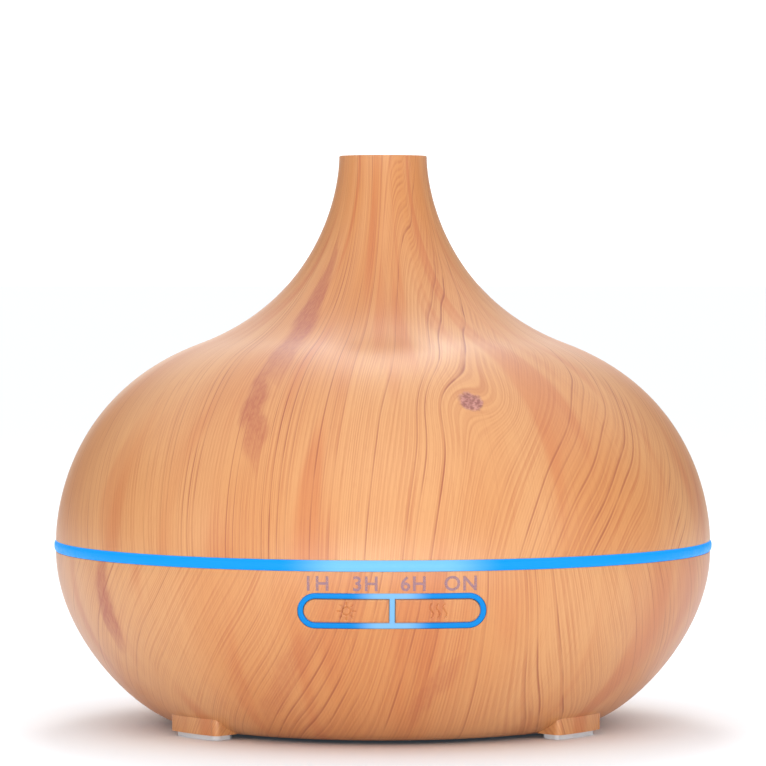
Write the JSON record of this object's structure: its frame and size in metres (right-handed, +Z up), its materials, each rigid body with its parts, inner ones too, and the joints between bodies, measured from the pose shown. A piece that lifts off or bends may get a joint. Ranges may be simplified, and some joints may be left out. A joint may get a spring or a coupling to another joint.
{
  "type": "essential oil diffuser",
  "caption": "Ultrasonic essential oil diffuser: onion-shaped wood-grain cover with a long neck lifts off a round base with a lit ring, two keys, water tank, mist transducer and fan.",
  "frame": {"origin": "on the surface it stands on, under the middle of the round body", "axes": "+Z up; -Y to the front, where the two keys are; +X to the right seen from the front"},
  "size_m": [0.168, 0.168, 0.145],
  "materials": {
    "wood_grain": "wood-grain transfer print on moulded plastic under a satin clear coat, warm orange-brown",
    "lit_plastic": "frosted translucent plastic, lit from behind in cyan blue",
    "white_plastic": "satin moulded white",
    "tank_plastic": "milky translucent polypropylene",
    "black_plastic": "fine moulded texture",
    "pale_rubber": "matte, slightly translucent silicone",
    "circuit_board": "solder mask over glass fibre",
    "screw_steel": "zinc plated",
    "aluminium": "machined",
    "disc_metal": "stainless face on a ceramic disc"
  },
  "bodies": {
    "base": {"air_duct": "white_plastic", "base_housing": "wood_grain", "board_screw_1": "screw_steel", "board_screw_2": "screw_steel", "bottom_cover": "black_plastic", "bottom_screw_1": "screw_steel", "bottom_screw_2": "screw_steel", "bottom_screw_3": "screw_steel", "bottom_screw_4": "screw_steel", "button_bezel": "lit_plastic", "button_board": "circuit_board", "button_lead": "white_plastic", "clamp_screw_1": "screw_steel", "clamp_screw_2": "screw_steel", "clamp_screw_3": "screw_steel", "control_board": "circuit_board", "controller_chip": "black_plastic", "dc_jack": "black_plastic", "driver_coil": "black_plastic", "fan_frame": "black_plastic", "fan_lead": "black_plastic", "fan_screw_1": "screw_steel", "fan_screw_2": "screw_steel", "foot_pad_1": "pale_rubber", "foot_pad_2": "pale_rubber", "foot_pad_3": "pale_rubber", "foot_pad_4": "pale_rubber", "heat_sink": "aluminium", "led_board": "circuit_board", "light_ring": "lit_plastic", "light_switch": "black_plastic", "mist_switch": "black_plastic", "power_lead": "black_plastic", "ring_led_1": "white_plastic", "ring_led_2": "white_plastic", "ring_led_3": "white_plastic", "ring_led_4": "white_plastic", "ring_led_5": "white_plastic", "ring_led_6": "white_plastic", "ring_led_7": "white_plastic", "ring_led_8": "white_plastic", "transducer_clamp": "aluminium", "transducer_disc": "disc_metal", "transducer_seal": "pale_rubber", "water_tank": "tank_plastic"},
    "cover": {"top_cover": "wood_grain", "inner_cover": "white_plastic", "cover_screw_1": "screw_steel", "cover_screw_2": "screw_steel", "cover_screw_3": "screw_steel"},
    "light_key": {"light_button": "wood_grain", "light_plunger": "white_plastic"},
    "mist_key": {"mist_button": "wood_grain", "mist_plunger": "white_plastic"},
    "rotor": {"fan_rotor": "black_plastic"}
  },
  "joints": [
    {"name": "cover_lift", "type": "slide", "parent": "base", "child": "cover", "axis": [0, 0, 1], "range_m": [0, 0.09]},
    {"name": "light_press", "type": "slide", "parent": "base", "child": "light_key", "axis": [0, 1, 0], "range_m": [0, 0.0008], "stiffness_N_per_m": 600},
    {"name": "mist_press", "type": "slide", "parent": "base", "child": "mist_key", "axis": [0, 1, 0], "range_m": [0, 0.0008], "stiffness_N_per_m": 600},
    {"name": "fan_spin", "type": "hinge", "parent": "base", "child": "rotor", "pos_m": [0, 0.02531, 0.011], "axis": [0, 0, 1], "continuous": true}
  ]
}
